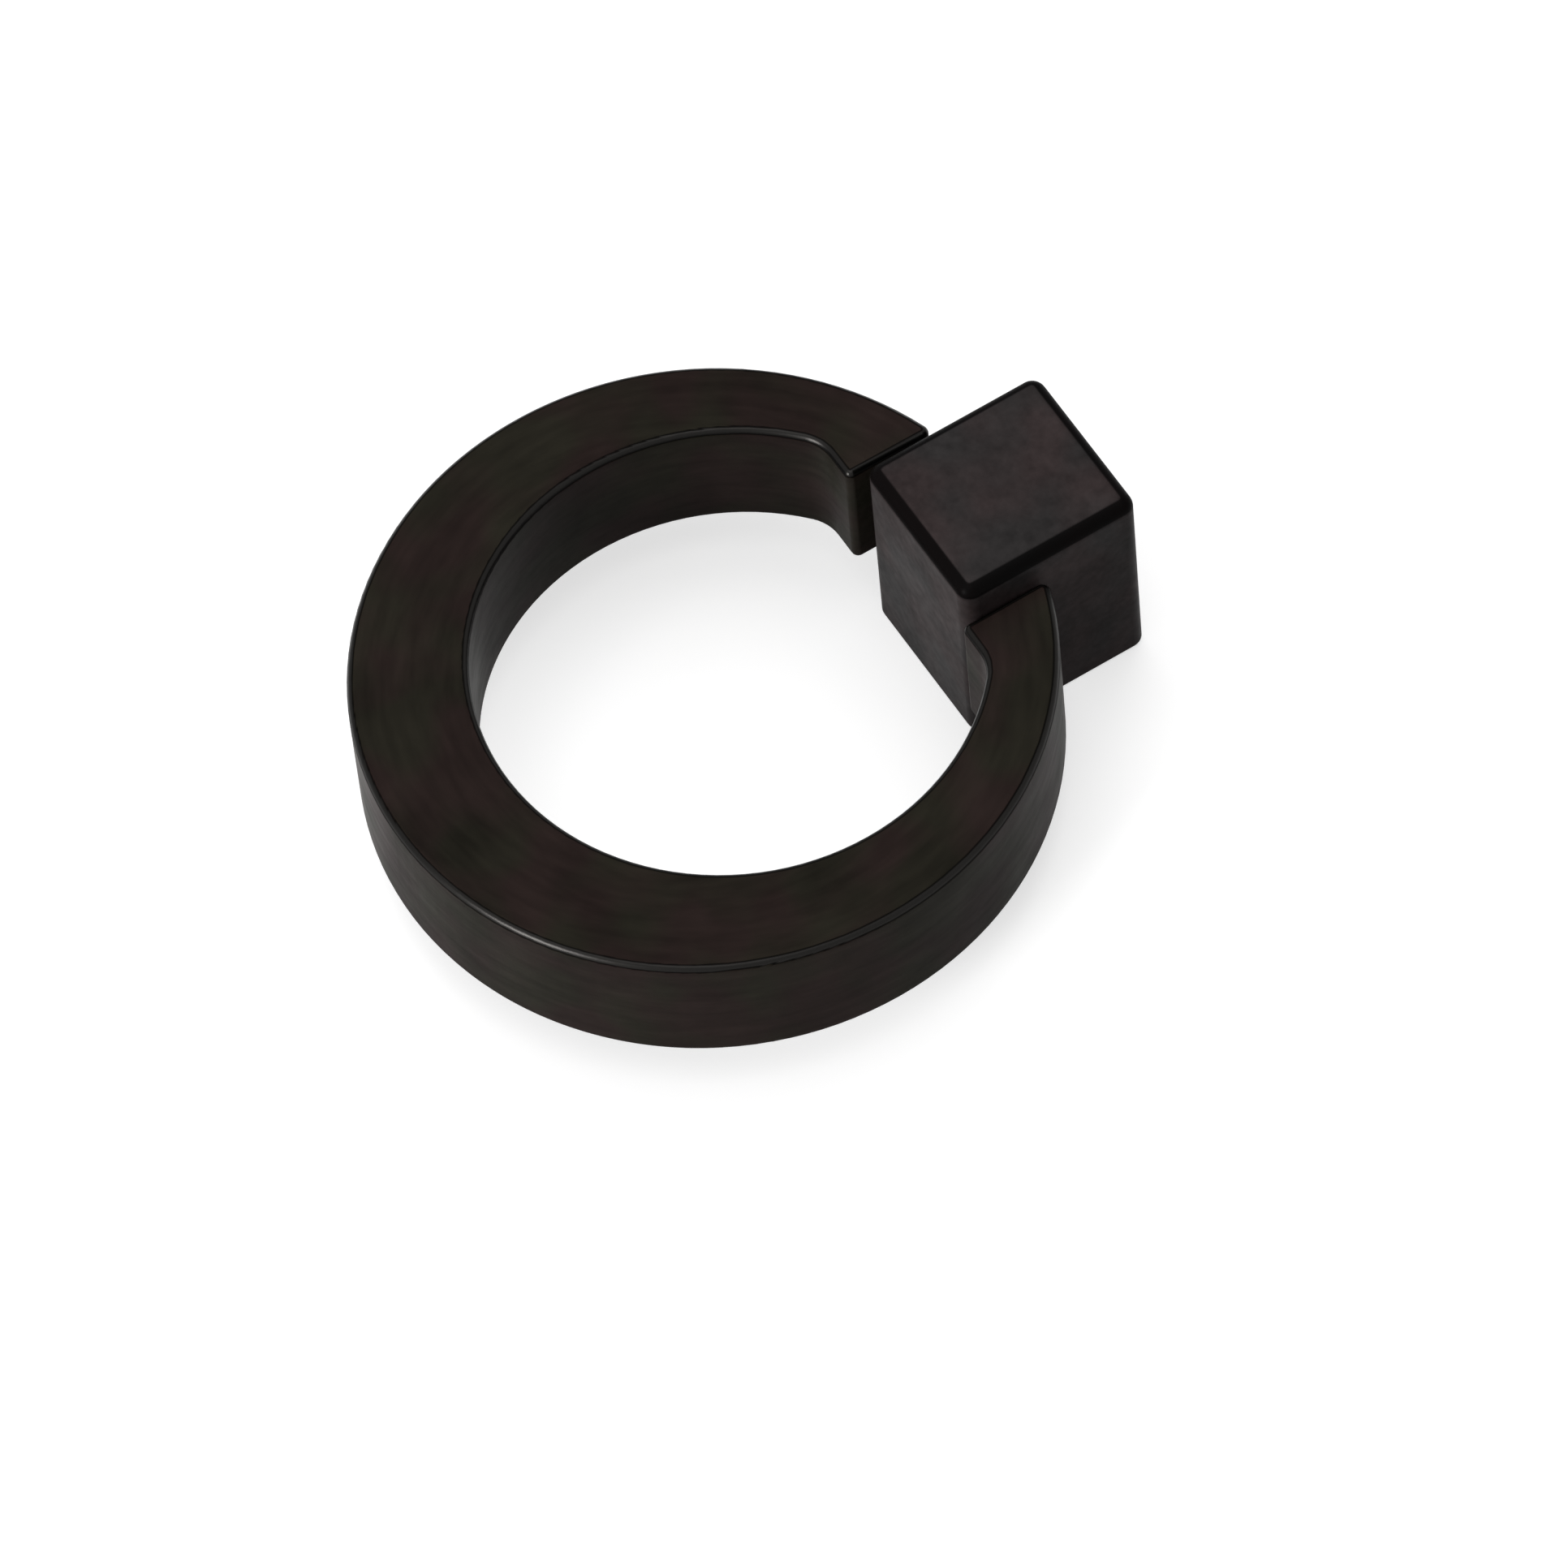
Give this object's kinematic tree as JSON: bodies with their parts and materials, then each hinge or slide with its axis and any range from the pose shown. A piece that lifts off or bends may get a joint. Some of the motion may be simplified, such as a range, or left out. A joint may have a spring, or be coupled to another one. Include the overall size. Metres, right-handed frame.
{
  "type": "ring pull handle",
  "caption": "Drop-ring pull for a drawer or cabinet door: a flat black ring swings on a pin through a small square block that a screw holds from behind.",
  "frame": {"origin": "mouth of the screw's hole, at the middle of the block's back face", "axes": "+Z out of the drawer front, +Y from the ring to the block, so the ring hangs along -Y; +X along the pin"},
  "size_m": [0.045, 0.051, 0.0164],
  "materials": {
    "black_block": "satin black paint on die-cast zinc alloy",
    "black_ring": "satin black paint on die-cast zinc alloy",
    "pin_steel": "blackened steel"
  },
  "bodies": {
    "mount": {"mount_block": "black_block"},
    "ring": {"pull_ring": "black_ring", "pivot_pin": "pin_steel"}
  },
  "joints": [
    {"name": "ring_swing", "type": "hinge", "parent": "mount", "child": "ring", "pos_m": [0, -0.0038, 0.00895], "axis": [-1, 0, 0], "range_deg": [-5.5, 185.5]}
  ]
}
